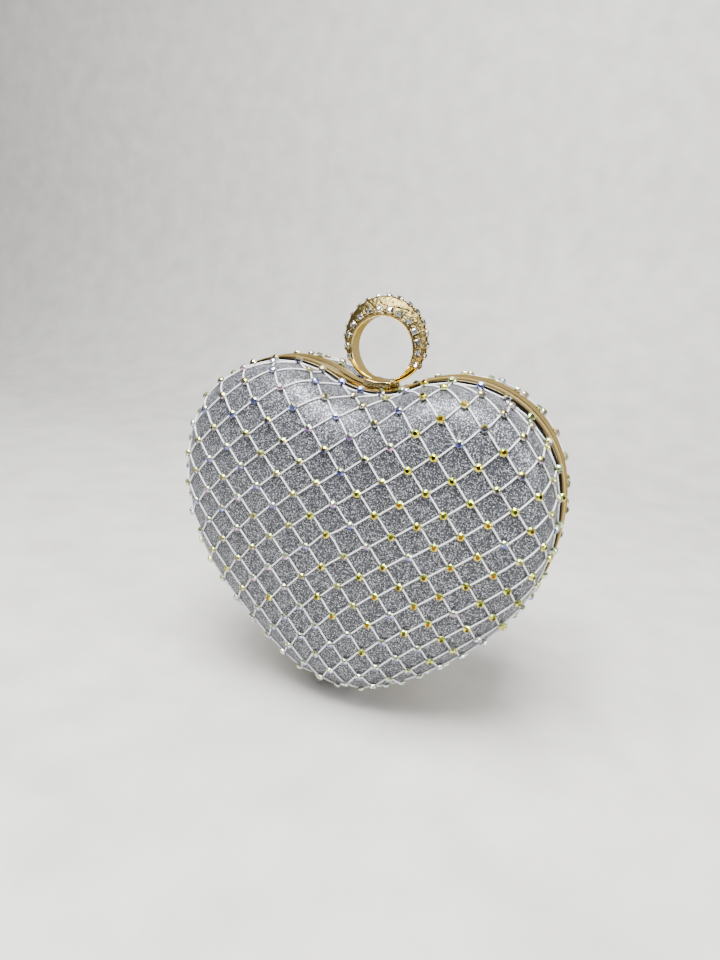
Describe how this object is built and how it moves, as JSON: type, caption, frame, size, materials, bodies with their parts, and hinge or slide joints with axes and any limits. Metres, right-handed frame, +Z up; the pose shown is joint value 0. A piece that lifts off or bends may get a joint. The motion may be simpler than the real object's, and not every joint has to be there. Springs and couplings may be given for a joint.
{
  "type": "heart evening clutch",
  "caption": "Heart shaped hard shell evening clutch in glitter cloth and jewelled netting, with a gilt hinged frame and a finger ring that works the clasp.",
  "frame": {"origin": "centre of the finger ring's hole, on the middle plane of the ring", "axes": "+X to the wearer's right of the front view, +Y from the front half to the back half, +Z up from the heart's tip to the ring"},
  "size_m": [0.151, 0.0788, 0.157],
  "materials": {
    "gilt": "polished light gold plate",
    "deep_gold": "polished deep gold plate",
    "steel": "bright steel",
    "shell_board": "moulded, plain",
    "glitter_cloth": "silver grey glitter cloth",
    "lining_cloth": "soft satin lining",
    "white_thread": "smooth white thread",
    "aurora_stone": "cut, foiled, coated so that its colour turns with the light",
    "crystal": "clear, cut, foiled"
  },
  "bodies": {
    "back_half": {"back_frame": "gilt", "back_shell": "shell_board", "back_cover": "glitter_cloth", "back_lining": "lining_cloth", "back_net": "white_thread", "back_border_cord": "white_thread", "back_net_stones": "aurora_stone", "back_edge_stones": "aurora_stone", "back_hinge_leaf": "gilt", "back_hinge_screws": "gilt", "hinge_pin": "steel", "clasp_bracket": "gilt", "clasp_pin": "steel", "clasp_spring": "steel"},
    "front_half": {"front_frame": "gilt", "front_shell": "shell_board", "front_cover": "glitter_cloth", "front_lining": "lining_cloth", "front_net": "white_thread", "front_border_cord": "white_thread", "front_net_stones": "aurora_stone", "front_edge_stones": "aurora_stone", "front_hinge_leaf": "gilt", "front_hinge_screws": "gilt", "catch_plate": "gilt"},
    "ring_clasp": {"ring_band": "gilt", "ring_base": "deep_gold", "ring_stones_front": "crystal", "ring_stones_crest": "crystal", "ring_stones_back": "crystal"}
  },
  "joints": [
    {"name": "lid_hinge", "type": "hinge", "parent": "back_half", "child": "front_half", "pos_m": [0, -0.0026, -0.13538], "axis": [1, 0, 0], "range_deg": [0, 100]},
    {"name": "ring_tilt", "type": "hinge", "parent": "back_half", "child": "ring_clasp", "pos_m": [0, 0.002, -0.01395], "axis": [-1, 0, 0], "range_deg": [0, 15], "stiffness_Nm_per_rad": 0.05, "springref_deg": -20.05}
  ]
}
